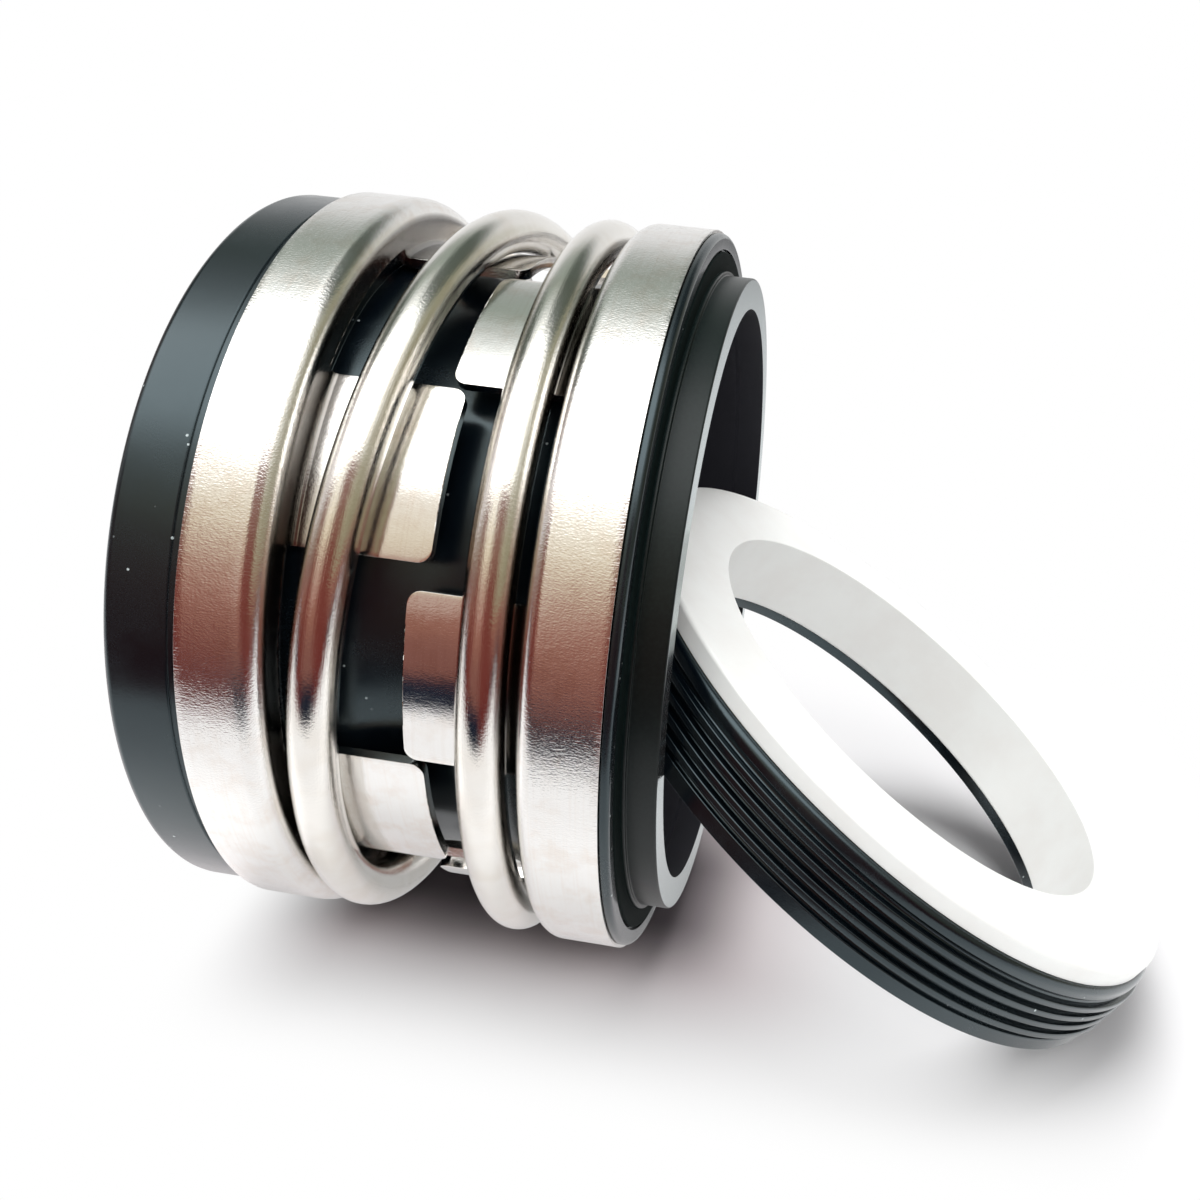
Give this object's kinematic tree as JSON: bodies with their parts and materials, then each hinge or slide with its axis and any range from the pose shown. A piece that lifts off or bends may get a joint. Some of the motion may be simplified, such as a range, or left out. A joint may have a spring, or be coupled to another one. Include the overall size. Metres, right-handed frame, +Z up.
{
  "type": "mechanical seal",
  "caption": "Rotary shaft seal: rubber bellows and a coil spring between lugged steel shells, a carbon nose, and a white ceramic seat in a ribbed rubber cup that leans on the nose.",
  "frame": {"origin": "on the shaft axis, at the tail face of the bellows", "axes": "+X along the shaft axis towards the nose and the leaning seat, +Z up from the surface the shells lie on, +Y to the side away from the picture's camera"},
  "size_m": [0.0981, 0.075, 0.075],
  "materials": {
    "rubber": "moulded, satin",
    "pressed_steel": "pressed stainless sheet, brushed",
    "spring_steel": "drawn stainless wire, bright",
    "carbon": "machined carbon with a lapped face",
    "ceramic": "ground white ceramic"
  },
  "bodies": {
    "drive_end": {"drive_band": "pressed_steel", "bellows": "rubber", "coil_spring": "spring_steel"},
    "seal_head": {"retainer": "pressed_steel", "primary_ring": "carbon", "seat_ring": "ceramic", "cup_gasket": "rubber"}
  },
  "joints": [
    {"name": "spring_compression", "type": "slide", "parent": "drive_end", "child": "seal_head", "axis": [-1, 0, 0], "range_m": [0, 0.007], "stiffness_N_per_m": 6000, "deforming": ["coil_spring", "bellows"]}
  ]
}
